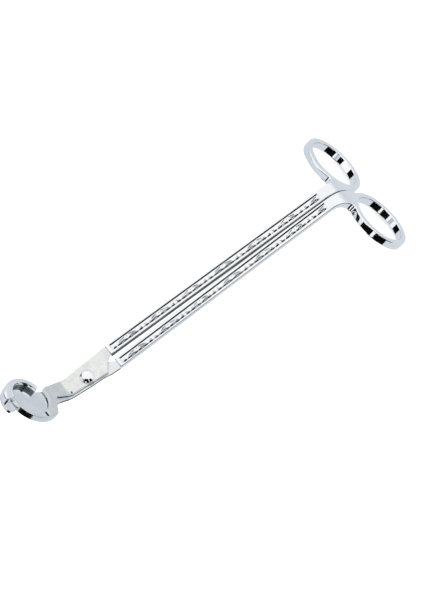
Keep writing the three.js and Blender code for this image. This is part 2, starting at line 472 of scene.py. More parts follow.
def spline(points: Loop | Outline, per_span: int) -> Loop:
    """Draws a centripetal Catmull-Rom curve through points.

    Args:
        points: the points to pass through.
        per_span: number of chords between two of them.

    Returns:
        The curve's points, both ends included.
    """
    through = [np.array(p) for p in points]
    knots = [through[0] * 2 - through[1], *through, through[-1] * 2 - through[-2]]
    made = []
    for p0, p1, p2, p3 in zip(knots, knots[1:], knots[2:], knots[3:]):
        t1 = float(np.linalg.norm(p1 - p0)) ** 0.5
        t2 = t1 + float(np.linalg.norm(p2 - p1)) ** 0.5
        t3 = t2 + float(np.linalg.norm(p3 - p2)) ** 0.5
        for i in range(per_span):
            t = t1 + (t2 - t1) * i / per_span
            a1 = (t1 - t) / t1 * p0 + t / t1 * p1
            a2 = (t2 - t) / (t2 - t1) * p1 + (t - t1) / (t2 - t1) * p2
            a3 = (t3 - t) / (t3 - t2) * p2 + (t - t2) / (t3 - t2) * p3
            b1 = (t2 - t) / t2 * a1 + t / t2 * a2
            b2 = (t3 - t) / (t3 - t1) * a2 + (t - t1) / (t3 - t1) * a3
            made.append(tuple((t2 - t) / (t2 - t1) * b1 + (t - t1) / (t2 - t1) * b2))
    return [*made, tuple(points[-1])]


def welded(loop: Loop) -> Loop:
    """Returns a closed outline without its doubled points."""
    return [p for p, q in zip(loop, loop[1:] + loop[:1]) if math.dist(p, q) > WELD]


def spaced(loop: Loop, longest: float) -> Loop:
    """Cleans a closed outline and splits its long sides.

    Args:
        loop: the outline's corners.
        longest: the longest side to leave.

    Returns:
        The outline without doubled points, and with every side at most that long.
    """
    clean = welded(loop)
    made = []
    for (ax, ay), (bx, by) in zip(clean, clean[1:] + clean[:1]):
        count = max(1, math.ceil(math.hypot(bx - ax, by - ay) / longest))
        made += [(ax + (bx - ax) * i / count, ay + (by - ay) * i / count) for i in range(count)]
    return made


def anticlockwise(loop: Loop) -> Loop:
    """Returns the outline running anticlockwise."""
    area = sum(p[0] * q[1] - q[0] * p[1] for p, q in zip(loop, loop[1:] + loop[:1]))
    return loop if area > 0 else loop[::-1]


def inset(loop: Loop, distance: float, weights: list[float] | None = None) -> Loop:
    """Moves an outline into the material, which lies on its left.

    Args:
        loop: the closed outline.
        distance: how far to move it.
        weights: a share of that distance for each point.

    Returns:
        The moved outline, point for point.
    """
    points = np.array(loop)
    ahead = np.roll(points, -1, 0) - points
    ahead /= np.linalg.norm(ahead, axis=1)[:, None]
    left = np.column_stack([-ahead[:, 1], ahead[:, 0]])
    before = np.roll(left, 1, 0)
    mitre = (left + before) / np.maximum(1 + (left * before).sum(1), MITRE_LIMIT)[:, None]
    share = np.ones(len(loop)) if weights is None else np.array(weights)
    return [tuple(p) for p in points + mitre * distance * share[:, None]]


def inside(places: np.ndarray, starts: np.ndarray, ends: np.ndarray) -> np.ndarray:
    """Tells which places lie within outlines, by counting the sides to their right.

    Args:
        places: the places to test.
        starts: where each side of the outlines starts.
        ends: where it ends.

    Returns:
        True for each place that has an odd number of sides to its right.
    """
    x, y = places[:, 0][:, None], places[:, 1][:, None]
    rise = ends[:, 1] - starts[:, 1]
    rise = np.where(np.abs(rise) < 1e-12, 1e-12, rise)
    crosses = (starts[:, 1] > y) != (ends[:, 1] > y)
    where = starts[:, 0] + (y - starts[:, 1]) / rise * (ends[:, 0] - starts[:, 0])
    return (crosses & (x < where)).sum(1) % 2 == 1


def rounded(low: float, high: float, radius: float, steps: int = 4) -> Section:
    """Draws the side of a slab with both edges rounded.

    Args:
        low: the back face's z.
        high: the front face's z.
        radius: the edges' radius.
        steps: facets in each edge.

    Returns:
        The side's steps from the back face to the front face.
    """
    turns = [math.radians(90 * i / steps) for i in range(steps + 1)]
    soft = [(radius * (1 - math.sin(a)), radius * (1 - math.cos(a))) for a in turns]
    back = [(pull, low + lift, Skin.BACK_ROUND) for pull, lift in soft]
    front = [(pull, high - lift, Skin.FRONT_ROUND) for pull, lift in reversed(soft)]
    back[-1] = (0.0, low + radius, Skin.SIDE)
    return back + front


# ---- mesh ----


@dataclass
class Shell:
    """A mesh in the making: points of the flat blank, faces and what each face is."""

    points: list[tuple[float, float, float]] = field(default_factory=list)
    faces: list[list[int]] = field(default_factory=list)
    skins: list[Skin] = field(default_factory=list)

    def add_points(self, loop: Loop, z: float) -> list[int]:
        """Adds an outline's points.

        Args:
            loop: the outline.
            z: its height.

        Returns:
            The new points' numbers.
        """
        first = len(self.points)
        self.points += [(x, y, z) for x, y in loop]
        return list(range(first, len(self.points)))

    def add_face(self, corners: list[int], skin: Skin) -> None:
        """Adds one face."""
        self.faces.append(corners)
        self.skins.append(skin)

    def bridge(self, lower: list[int], upper: list[int], skin: Skin) -> None:
        """Joins two outlines, point for point, with a band of faces.

        Args:
            lower: the first outline's point numbers, or one point.
            upper: the second outline's, or one point.
            skin: what the new faces are.
        """
        count = max(len(lower), len(upper))
        for i in range(count):
            j = (i + 1) % count
            if len(lower) == 1:
                self.add_face([lower[0], upper[j], upper[i]], skin)
            elif len(upper) == 1:
                self.add_face([lower[i], lower[j], upper[0]], skin)
            else:
                self.add_face([lower[i], lower[j], upper[j], upper[i]], skin)

    def cap(self, loops: list[list[int]], skin: Skin, upward: bool) -> None:
        """Fills the space between outlines.

        Args:
            loops: the outer outline and its holes, as point numbers.
            skin: what the new faces are.
            upward: whether they look towards +Z.
        """
        numbers = [n for loop in loops for n in loop]
        flat = np.array([self.points[n][:2] for n in numbers])
        height = self.points[numbers[0]][2]
        edges: list[tuple[int, int]] = []
        for loop in loops:
            first = len(edges)
            edges += [(first + i, first + (i + 1) % len(loop)) for i in range(len(loop))]
        found = delaunay_2d_cdt([Vector(p) for p in flat], edges, [], 0, SAME)
        placed = np.array([tuple(p) for p in found[0]])
        triangles = np.array(found[2])
        source = []
        for ids, (x, y) in zip(found[3], placed):
            source.append(numbers[ids[0]] if ids else len(self.points))
            if not ids:
                self.points.append((float(x), float(y), height))
        starts, ends = flat[[e[0] for e in edges]], flat[[e[1] for e in edges]]
        for triangle in triangles[inside(placed[triangles].mean(1), starts, ends)]:
            picked = [source[i] for i in triangle]
            if len(set(picked)) < 3:
                continue
            p, q, r = (self.points[n] for n in picked)
            up = (q[0] - p[0]) * (r[1] - p[1]) - (r[0] - p[0]) * (q[1] - p[1]) > 0
            self.add_face(picked if up == upward else picked[::-1], skin)

    def slab(
        self,
        outer: Loop,
        holes: list[Loop],
        side: Section,
        weights: list[float] | None = None,
        pocket: list[int] | None = None,
    ) -> None:
        """Adds a closed slab with a drawn side.

        Args:
            outer: its outline, anticlockwise.
            holes: outlines of its holes, clockwise.
            side: the side's steps, from rounded().
            weights: a share of each inset for the outline's points.
            pocket: point numbers of a pocket's rim in the front face.
        """
        backs, fronts = [], []
        for loop in (outer, *holes):
            share = weights if loop is outer else None
            rows = [self.add_points(inset(loop, pull, share), z) for pull, z, _ in side]
            for lower, upper, (_, _, skin) in zip(rows, rows[1:], side):
                self.bridge(lower, upper, skin)
            backs.append(rows[0])
            fronts.append(rows[-1])
        self.cap(backs, Skin.BACK, upward=False)
        self.cap(fronts + ([pocket] if pocket else []), Skin.FRONT, upward=True)

    def set_apart(self, test: Callable[[list[Point]], bool]) -> None:
        """Turns some of the side's faces into RECESS, which takes a finish of its own.

        Args:
            test: tells, from a face's corners, whether it is one of them.
        """
        for i, corners in enumerate(self.faces):
            if self.skins[i] == Skin.SIDE and test([self.points[c][:2] for c in corners]):
                self.skins[i] = Skin.RECESS


@dataclass
class Piece:
    """One finished piece: the lever it rides on, the CAD node it stands for, its finishes.

    relief is a clearance step milled into its underside: x from, x to, y from, up to z.
    """

    name: str
    node: str
    lever: Lever
    slot: Slot
    finish: MetalFinish
    by_skin: dict[Skin, MetalFinish] = field(default_factory=dict)
    relief: tuple[float, float, float, float] | None = None
    relief_wall: float = 0.2

    def make(self, shell: Shell, former: Former) -> bpy.types.Object:
        """Bends the blank, makes its object and hands it to the frame.

        Args:
            shell: the flat blank.
            former: the bending jig.

        Returns:
            The new object.
        """
        work = bmesh.new()
        skin = work.faces.layers.int.new("skin")
        made = [work.verts.new(p) for p in shell.points]
        worn: list[MetalFinish] = []
        for corners, kind in zip(shell.faces, shell.skins):
            face = work.faces.new([made[i] for i in corners])
            face[skin] = int(kind)
            finish = self.choose(kind, face)
            if finish not in worn:
                worn.append(finish)
            face.material_index = worn.index(finish)
        low, high = min(p[0] for p in shell.points), max(p[0] for p in shell.points)
        for x in former.cuts():
            if low < x < high:
                self.cut(work, Vector((x, 0, 0)), Vector((1, 0, 0)))
        if self.relief:
            self.mill(work)
        for face in work.faces:
            face.smooth = True
        for edge in work.edges:
            kinds = {face[skin] for face in edge.link_faces}
            edge.smooth = len(kinds) < 2 and edge.calc_face_angle(0.0) < CRISP
        for vertex in work.verts:
            vertex.co = former.place(*vertex.co)
        mesh = bpy.data.meshes.new(self.name)
        work.to_mesh(mesh)
        work.free()
        for finish in worn:
            mesh.materials.append(finish.make())
        body = add_object(self.name, mesh)
        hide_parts(self.node)
        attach(body, self.lever.value)
        return body

    @staticmethod
    def cut(work: bmesh.types.BMesh, place: Vector, normal: Vector) -> None:
        """Cuts every face along a plane, without taking anything away."""
        whole = work.verts[:] + work.edges[:] + work.faces[:]
        bmesh.ops.bisect_plane(work, geom=whole, dist=SNAP, plane_co=place, plane_no=normal)

    def mill(self, work: bmesh.types.BMesh) -> None:
        """Mills the clearance step into the underside, so that the levers can swing.

        Args:
            work: the flat blank's mesh.
        """
        x_from, x_to, y_from, depth = self.relief
        wall = self.relief_wall
        for x in (x_from, x_from + wall, x_to - wall, x_to):
            self.cut(work, Vector((x, 0, 0)), Vector((1, 0, 0)))
        for y in (y_from - wall, y_from):
            self.cut(work, Vector((0, y, 0)), Vector((0, 1, 0)))
        for vertex in work.verts:
            x, y, z = vertex.co
            if x_from + 0.9 * wall < x < x_to - 0.9 * wall and y > y_from - 0.01 and 0 < z < depth:
                vertex.co.z = depth

    def choose(self, kind: Skin, face: bmesh.types.BMFace) -> MetalFinish:
        """Chooses a face's finish by its skin."""
        return self.by_skin.get(kind, self.finish)


@dataclass
class SubAssembly:
    """A part of the tool: its sizes, its flat blank and the piece that the blank becomes."""

    piece: Piece

    def blank(self) -> Shell:
        """Draws the flat blank."""
        raise NotImplementedError

    def build(self, former: Former) -> bpy.types.Object:
        """Builds and dresses the part with the bending jig."""
        return self.piece.make(self.blank(), former)


# ---- handles ----


@dataclass(frozen=True)
class Stroke:
    """A raised line of the ornament: a path, its half width at each point and its rise."""

    path: Loop
    widths: list[float]
    rise: float


@dataclass(frozen=True)
class LeafOrnament:
    """The leaf and scroll pattern cast in the handles' panels.

    Each motif is mirrored about its middle: two long leaves, a tendril over each, a
    curl and a short leaf towards the ends, and beads between.
    """

    motif: float = 16.1
    rise: float = 0.36
    near_reach: float = 0.42  # every line slopes this far on its lower side
    least_reach: float = 0.3

    def strokes(self) -> list[Stroke]:
        """Draws half a motif.

        Returns:
            Its raised lines, as (from the motif's middle, from the panel's upper side).
        """
        half, rise = self.motif / 2, self.rise
        leaf = spline([(0.4, 1.86), (1.6, 1.66), (3.2, 1.66), (5.1, 1.95)], 10)
        tendril = spline([(1.2, 0.42), (2.2, 0.55), (3.5, 0.92), (4.9, 1.5)], 8)
        short = spline([(5.75, 1.9), (6.4, 1.74), (7.3, 1.8)], 8)
        shrink = [1 - i / 26 for i in range(20)]
        curl = [
            (6.95 + 0.48 * s * math.cos(i / 3.2), 0.82 + 0.44 * s * math.sin(i / 3.2))
            for i, s in enumerate(shrink)
        ]
        stem = [(half, 0.45), (half, 0.8), (half, 1.15), (half, 1.5)]
        return [
            Stroke(leaf, self.taper(len(leaf), 0.14, 0.5, 0.12), rise),
            Stroke(tendril, self.taper(len(tendril), 0.1, 0.2, 0.12), rise * 0.75),
            Stroke(short, self.taper(len(short), 0.1, 0.36, 0.1), rise * 0.9),
            Stroke(curl, self.taper(len(curl), 0.2, 0.15, 0.12), rise * 0.7),
            Stroke([(0.0, 0.66)], [0.3], rise * 0.9),
            Stroke([(0.95, 1.0)], [0.2], rise * 0.6),
            Stroke(stem, [0.18, 0.2, 0.2, 0.14], rise * 0.7),
            Stroke([(half, 1.98)], [0.24], rise * 0.8),
        ]

    @staticmethod
    def taper(count: int, start: float, middle: float, end: float) -> list[float]:
        """Widens a stroke from its start to its middle and narrows it to its end.

        Args:
            count: number of points.
            start: half width at the first.
            middle: half width at the middle one.
            end: half width at the last.

        Returns:
            The half width at each point.
        """
        made = []
        for i in range(count):
            t = i / (count - 1)
            edge = start + (end - start) * t
            made.append(edge + (middle - edge) * math.sin(math.pi * t) ** 0.8)
        return made

    def height(self, along: np.ndarray, down: np.ndarray) -> np.ndarray:
        """Measures the ornament's rise over the panel's floor.

        Args:
            along: places along the panel.
            down: places across it, from its upper side.

        Returns:
            The rise at each place.
        """
        folded = np.abs((along % self.motif) - self.motif / 2)
        rise = np.zeros_like(folded)
        for stroke in self.strokes():
            for (x, y), width in zip(stroke.path, stroke.widths):
                across = (down - y) / np.where(down > y, self.near_reach, width)
                gap = np.hypot((folded - x) / max(width, self.least_reach), across)
                rise = np.maximum(rise, stroke.rise * np.clip(1 - gap, 0, None))
        return rise


@dataclass
class CastPiece(Piece):
    """A handle's piece, whose flank towards the other handle takes the painted seam shade."""

    toward: int = -1  # the flank faces this way along Y
    until: float = 133.0  # and ends here, on the ring
    square: float = 0.6  # how squarely a face must look that way

    def choose(self, kind: Skin, face: bmesh.types.BMFace) -> MetalFinish:
        """Gives the painted seam shade to the flank that meets the other handle.

        Args:
            kind: the face's skin.
            face: the face.

        Returns:
            Its finish.
        """
        # the flank facing the other handle gets the painted seam shade
        if kind in (Skin.SIDE, Skin.BACK_ROUND):
            face.normal_update()
            if face.normal.y * self.toward > self.square and face.calc_center_median().x < self.until:
                return PAINTED_SEAM_SHADE
        return super().choose(kind, face)


@dataclass
class Handle(SubAssembly):
    """A handle casting: ornamented bar, neck and finger ring in one.

    side is 1 for the upper handle and -1 for the lower one, drawn the other way up.
    """

    side: int
    inner: Outline  # its edge towards the other handle, from the front to the neck
    outer: Outline  # its far edge, front and rear end
    ring: Point
    panel_top: Point  # y of the panel's upper side, at its front and rear end
    ornament: LeafOrnament = LeafOrnament()
    half: float = 1.6
    edge: float = 0.45
    ring_outer: float = 13.96
    ring_hole: float = 11.45
    ring_chords: int = 112
    neck_ease: Point = (6.0, 5.0)  # lengths of the neck curve's handles
    neck_chords: int = 26
    leave: float = 205.0  # where on the ring the far edge leaves it
    leave_ease: Point = (1.3, 2.8)
    end_ease: float = 5.0
    leave_chords: int = 22
    longest: float = 2.5
    panel_from: float = 14.8
    panel_to: float = 119.5
    panel_width: float = 2.9
    panel_depth: float = 0.45
    panel_slope: float = 0.52  # width of the panel's sloping walls
    shade_slope: float = 0.55  # slopes steeper than this take the painted shade of the ornament's recesses
    step: float = 0.16
    across: int = 16
    end_fade: float = 0.6
    side_fade: float = 0.16

    def outline(self) -> Loop:
        """Draws the casting's outline.

        Returns:
            The closed outline, anticlockwise.
        """
        x, y = self.ring
        near = y - self.side * self.ring_outer
        last = self.inner[-1]
        out, back = self.neck_ease
        neck = bezier(last, (last[0] + out, last[1]), (x - back, near), (x, near), self.neck_chords)
        round_ring = arc((x, y), self.ring_outer, -90, self.leave, self.ring_chords)[1:]
        path = [*self.inner, *neck, *((px, y + self.side * (py - y)) for px, py in round_ring)]
        leave = path[-1]
        front, end = self.outer
        first = (leave[0] + self.leave_ease[0], leave[1] - self.side * self.leave_ease[1])
        path += bezier(leave, first, (end[0] + self.end_ease, end[1]), end, self.leave_chords)
        path.append(front)
        return anticlockwise(spaced(path, self.longest))

    def panel_point(self, x: float, down: float) -> Point:
        """Finds a point of the panel by its place along the bar and across the panel."""
        share = (x - self.panel_from) / (self.panel_to - self.panel_from)
        return x, self.panel_top[0] + (self.panel_top[1] - self.panel_top[0]) * share - down

    def add_panel(self, shell: Shell) -> list[int]:
        """Adds the sunk panel with its raised ornament.

        Args:
            shell: the blank so far.

        Returns:
            Point numbers of the panel's rim, for the front face to stop at.
        """
        slope, floor, across = self.panel_slope, self.half - self.panel_depth, self.across
        along = math.ceil((self.panel_to - self.panel_from - 2 * slope) / self.step)
        xs = np.linspace(self.panel_from + slope, self.panel_to - slope, along + 1)
        downs = np.linspace(slope, self.panel_width - slope, across + 1)
        grid_x, grid_down = np.meshgrid(xs, downs, indexing="ij")
        rise = self.ornament.height(grid_x - self.panel_from, grid_down - slope * 0.55)
        rise *= np.clip(np.minimum(grid_x - xs[0], xs[-1] - grid_x) / self.end_fade, 0, 1)
        rise *= np.clip(np.minimum(grid_down - downs[0], downs[-1] - grid_down) / self.side_fade, 0, 1)
        numbers = np.arange((along + 1) * (across + 1)).reshape(along + 1, -1) + len(shell.points)
        for i, x in enumerate(xs):
            for j, down in enumerate(downs):
                shell.points.append((*self.panel_point(float(x), float(down)), floor + float(rise[i, j])))
        # faces that drop steeply take the painted shade
        limit = self.shade_slope * (downs[1] - downs[0])
        for i in range(along):
            for j in range(across):
                corners = [numbers[i, j], numbers[i, j + 1], numbers[i + 1, j + 1], numbers[i + 1, j]]
                drop = (rise[i, j] + rise[i + 1, j] - rise[i, j + 1] - rise[i + 1, j + 1]) / 2
                shell.add_face([int(n) for n in corners], Skin.SHADED_SLOPE if drop > limit else Skin.RELIEF)
        border = (
            [(i, 0) for i in range(along)]
            + [(along, j) for j in range(across)]
            + [(i, across) for i in range(along, 0, -1)]
            + [(0, j) for j in range(across, 0, -1)]
        )
        rim_x = np.linspace(self.panel_from, self.panel_to, along + 1)
        rim_down = np.linspace(0, self.panel_width, across + 1)
        rim = [self.panel_point(float(rim_x[i]), float(rim_down[j])) for i, j in border]
        top = shell.add_points(rim, self.half)
        shell.bridge([int(numbers[i, j]) for i, j in border], top, Skin.RECESS)
        return top

    def blank(self) -> Shell:
        """Draws the casting, its panel first.

        Returns:
            The flat blank.
        """
        shell = Shell()
        rim = self.add_panel(shell)
        finger_hole = hole(self.ring, self.ring_hole, self.ring_chords)
        side = rounded(-self.half, self.half, self.edge)
        shell.slab(self.outline(), [finger_hole], side, pocket=rim)
        return shell


# ---- blades ----


@dataclass(frozen=True)
class HeadPlan:
    """What the two blades share. Points on the head are (forward of its centre, across)."""

    centre: Point = (-30.35, 1.2)
    hook_centre: Point = (-2.9, 2.4)
    hook_outer: float = 12.4
    hook_wall: float = 0.9
    guard_rim: Outline = (
        (-5.2, 3.9), (-5.3, 5.9), (-3.9, 8.3), (-2.1, 9.95), (-0.1, 11.0), (3.4, 11.5),
        (6.6, 10.9), (9.3, 9.6), (12.2, 7.4), (13.6, 4.9), (14.0, 3.6),
    )
    lap: float = 0.2  # the lap faces stand this far from the lap's middle
    half_stock: float = 1.6
    bore: float = 2.05  # radius of the rivet's hole
    bore_chords: int = 48
    longest: float = 1.2
    facets: int = 3  # in each rounded edge

    def on_blank(self, points: Loop | Outline) -> Loop:
        """Moves points on the head to the flat blank."""
        return [(self.centre[0] - fore, self.centre[1] + side) for fore, side in points]

    def rivet_hole(self) -> Loop:
        """Draws the hole that the rivet goes through."""
        return hole((0, 0), self.bore, self.bore_chords)


@dataclass
class HookBlade(SubAssembly):
    """The upper blade: lap plate, neck, and the thin hook round the tray."""

    plan: HeadPlan = HeadPlan()
    far_edge: Outline = ((13.1, 5.8), (0, 5.1), (-7.4, 4.9), (-20.2, 4.9))
    neck_centre: Point = (-0.58, 1.7)
    neck_radius: float = 7.93
    neck_arc: Point = (170, 254)
    root: Outline = ((-9.5, -5.6), (-11, -3.6), (-13, -1.9))  # on the head
    root_end: Point = (-14.5, -1.3)
    near_edge: Outline = ((-8.9, -2.5), (-0.7, -3.0), (4.4, -3.7))
    rear: Outline = ((7.8, -3.8), (10.3, -0.4), (11.9, 1.0), (13.1, 1.5))
    hook_arc: Point = (-111.0, 3.0)
    hook_low: float = -1.5
    hook_edge: float = 0.2
    edge: float = 0.18
    mark: Point = (-9.4, -1.7)  # a small drilled mark on the neck
    mark_radius: float = 0.42

    def plate(self) -> Loop:
        """Draws the plate: pivot lap, neck and the tongue that carries the hook.

        Returns:
            The closed outline, anticlockwise.
        """
        plan = self.plan
        neck = plan.on_blank(arc(self.neck_centre, self.neck_radius, *self.neck_arc, 26))
        middle = plan.hook_outer - plan.hook_wall / 2
        tongue = plan.on_blank(arc(plan.hook_centre, middle, -90, self.hook_arc[0], 8))
        root = spline([*plan.on_blank(self.root), self.root_end], 5)
        rear = spline(self.rear, 5)
        path = [*self.far_edge, *neck, *tongue, *root, *self.near_edge, *rear]
        return anticlockwise(spaced(path, plan.longest))

    def hook(self) -> Loop:
        """Draws the hook's thin wall.

        Returns:
            The closed outline, anticlockwise.
        """
        plan, (start, end) = self.plan, self.hook_arc
        outer = arc(plan.hook_centre, plan.hook_outer, start, end, 84)
        inner = arc(plan.hook_centre, plan.hook_outer - plan.hook_wall, end, start, 84)
        return anticlockwise(spaced(plan.on_blank([*outer, *inner]), 0.5))

    def blank(self) -> Shell:
        """Draws the blade; only the drilled mark's wall keeps the painted shade.

        Returns:
            The flat blank.
        """
        plan, shell = self.plan, Shell()
        mark = hole(self.mark, self.mark_radius, 20)
        side = rounded(plan.lap, plan.half_stock, self.edge, plan.facets)
        shell.slab(self.plate(), [plan.rivet_hole(), mark], side)
        shell.slab(self.hook(), [], rounded(self.hook_low, plan.half_stock, self.hook_edge, plan.facets))
        # sides away from the drilled mark stay bright; its wall keeps the painted shade
        reach = 2 * self.mark_radius
        shell.set_apart(lambda corners: max(math.dist(c, self.mark) for c in corners) > reach)
        return shell


@dataclass
class TrayPlate(SubAssembly):
    """The lower blade: lap plate, neck, round tray floor and the lip at its front."""

    plan: HeadPlan = HeadPlan()
    gap: float = 0.3  # between the floor and the hook
    floor_arc: Point = (-118, 4)
    lip: Outline = ((8.3, 3.6), (9.95, 3.6), (9.95, -0.6), (13.6, -0.6), (14.3, 1.2))
    behind_guard: Outline = ((-6.2, 3.5), (-8.5, 3.0))
    far_edge: Outline = ((13.1, -1.3), (9, 1.2), (5.5, 3.2), (0, 4.5), (-7.4, 4.3), (-16, 4.3))
    root: Outline = ((-9.6, -5.4), (-13.4, -4.3))  # on the head
    root_end: Point = (-8.5, -3.3)
    near_edge: Outline = ((-1.7, -3.9), (6, -4.3), (9, -4.9), (13.1, -5.1))
    bright_edges_from: float = -21.0  # edges in front of this x are buffed bright; the rest keep the painted shade
    edge: float = 0.14

    def plate(self) -> Loop:
        """Draws the plate's outline.

        Returns:
            The closed outline, anticlockwise.
        """
        plan = self.plan
        radius = plan.hook_outer - plan.hook_wall - self.gap
        floor = arc(plan.hook_centre, radius, *self.floor_arc, 64)
        rim = spline(plan.guard_rim, 5)[::-1]
        head = plan.on_blank([*floor, *self.lip, *rim, *self.behind_guard])[::-1]
        root = spline([*plan.on_blank(self.root), self.root_end], 6)
        path = [*self.far_edge, *head, *root, *self.near_edge]
        return anticlockwise(spaced(path, plan.longest))

    def blank(self) -> Shell:
        """Draws the plate.

        Returns:
            The flat blank.
        """
        plan, shell = self.plan, Shell()
        side = rounded(-plan.half_stock, -plan.lap, self.edge, plan.facets)
        shell.slab(self.plate(), [plan.rivet_hole()], side)
        # sides towards the head stay bright; the rest keep the painted shade
        shell.set_apart(lambda corners: corners[0][0] < self.bright_edges_from)
        return shell


@dataclass
class TrayGuard(SubAssembly):
    """The raised crescent wall that keeps the cut wick on the tray."""

    plan: HeadPlan = HeadPlan()
    bore_centre: Point = (3.0, 2.4)
    bore: float = 6.35
    bore_arc: Point = (10, 173)
    low: float = -0.1
    top: float = 2.8
    shoulder: Point = (1.105, 1.3)  # width and height of the rounded outer edge
    shoulder_facets: int = 6
    bore_share: float = 0.16  # the bore's edge is that much sharper
    tip_length: float = 3.0  # where the rounding fades out towards the crescent's ends

    def blank(self) -> Shell:
        """Draws the wall.

        Returns:
            The flat blank.
        """
        plan = self.plan
        rim = spline(plan.guard_rim, 8)
        bore = arc(self.bore_centre, self.bore, *self.bore_arc, 48)
        loop = welded(anticlockwise(plan.on_blank([*bore, *rim])))
        centre = plan.on_blank([self.bore_centre])[0]
        tips = plan.on_blank([plan.guard_rim[0], plan.guard_rim[-1]])
        weights = []
        for p in loop:
            far = min(min(math.dist(p, tip) for tip in tips) / self.tip_length, 1.0)
            on_bore = math.dist(p, centre) < self.bore + 0.05
            weights.append(self.bore_share + (0 if on_bore else (1 - self.bore_share) * far))
        side = [(0.0, self.low, Skin.SIDE)]
        for i in range(self.shoulder_facets + 1):
            turn = math.radians(90 * i / self.shoulder_facets)
            pull = self.shoulder[0] * (1 - math.cos(turn))
            side.append((pull, self.top - self.shoulder[1] * (1 - math.sin(turn)), Skin.FRONT_ROUND))
        shell = Shell()
        shell.slab(loop, [], side, weights)
        # the bore's wall is set apart for the painted shade
        reach = self.bore + 0.01
        shell.set_apart(lambda corners: all(math.dist(c, centre) < reach for c in corners))
        return shell


# ---- pivot ----


@dataclass
class Turned(SubAssembly):
    """A piece turned about the pivot axis from a drawn half section."""

    section: Section
    closed: bool = False
    facets: int = 72

    def blank(self) -> Shell:
        """Draws the piece, which the bending jig only lifts into place.

        Returns:
            The unlifted piece.
        """
        shell = Shell()
        rows = []
        for radius, z, _ in self.section:
            loop = arc((0, 0), radius, 0, 360, self.facets)[:-1] if radius else [(0.0, 0.0)]
            rows.append(shell.add_points(loop, z))
        after = rows[1:] + (rows[:1] if self.closed else [])
        for lower, upper, (_, _, skin) in zip(rows, after, self.section):
            shell.bridge(lower, upper, skin)
        return shell


def rivet_section(dome_radius: float = 2.98, dome_height: float = 1.48, top: float = 3.14) -> Section:
    """Draws the rivet's half section.

    Args:
        dome_radius: the dome's radius at its foot.
        dome_height: its height, less a hair.
        top: z of its top.

    Returns:
        The section from the middle of the tail to the top of the dome.
    """
    tail = [
        (0.0, -3.0, Skin.BACK), (2.2, -3.0, Skin.BACK_ROUND), (2.45, -2.93, Skin.BACK_ROUND),
        (2.63, -2.78, Skin.BACK_ROUND), (2.7, -2.55, Skin.SIDE), (2.7, -2.2, Skin.RECESS),
        (1.9, -2.2, Skin.SIDE), (1.9, 1.65, Skin.RECESS), (2.95, 1.65, Skin.FRONT_ROUND),
    ]
    ball = (3.0**2 + dome_height**2) / (2 * dome_height)
    foot = math.asin(dome_radius / ball)
    dome = []
    for i in range(16):
        turn = foot * (1 - i / 16)
        dome.append((ball * math.sin(turn), top - ball * (1 - math.cos(turn)), Skin.FRONT_ROUND))
    return [*tail, *dome, (0.0, top, Skin.FRONT_ROUND)]


def washer_section(low: float, high: float, bore: float = 2.05, outer: float = 3.6) -> Section:
    """Draws a punched washer's half section.

    Args:
        low: its lower face.
        high: its upper face.
        bore: radius of its hole.
        outer: its outer radius.

    Returns:
        The section, round from the hole's lower edge.
    """
    soft = 0.08
    return [
        (bore, low, Skin.BACK), (outer - soft, low, Skin.BACK_ROUND), (outer, low + soft, Skin.SIDE),
        (outer, high - soft, Skin.FRONT_ROUND), (outer - soft, high, Skin.FRONT),
        (bore, high, Skin.RECESS),
    ]


# ---- studio ----


@dataclass(frozen=True)
class Flag:
    """A black card far from the object that the chrome mirrors as a dark band.

    Angles are degrees seen from the object: azimuth from +X towards +Y, and elevation.
    """

    azimuth: Point
    elevation: Point
    slant: float = 0.0  # degrees of azimuth gained towards the top
    distance: float = 6.0
    steps: int = 12

    def build(self, name: str, material: bpy.types.Material) -> bpy.types.Object:
        """Hangs the card.

        Args:
            name: the card's name.
            material: its matt black paint.

        Returns:
            The card, marked as stage.
        """
        row = self.steps + 1
        points, faces = [], []
        for turn in np.linspace(*np.radians(self.azimuth), row):
            for j, lift in enumerate(np.linspace(*np.radians(self.elevation), row)):
                lean = turn + math.radians(self.slant) * (j / self.steps - 0.5)
                flat = math.cos(lift) * self.distance
                points.append((flat * math.cos(lean), flat * math.sin(lean), self.distance * math.sin(lift)))
        for i in range(self.steps):
            for j in range(self.steps):
                first = i * row + j
                faces.append((first, first + 1, first + row + 1, first + row))
        mesh = bpy.data.meshes.new(name)
        mesh.from_pydata(points, [], faces)
        mesh.materials.append(material)
        card = add_object(name, mesh)
        card.visible_camera = False
        card.visible_diffuse = False
        card.visible_shadow = False
        card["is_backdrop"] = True
        return card


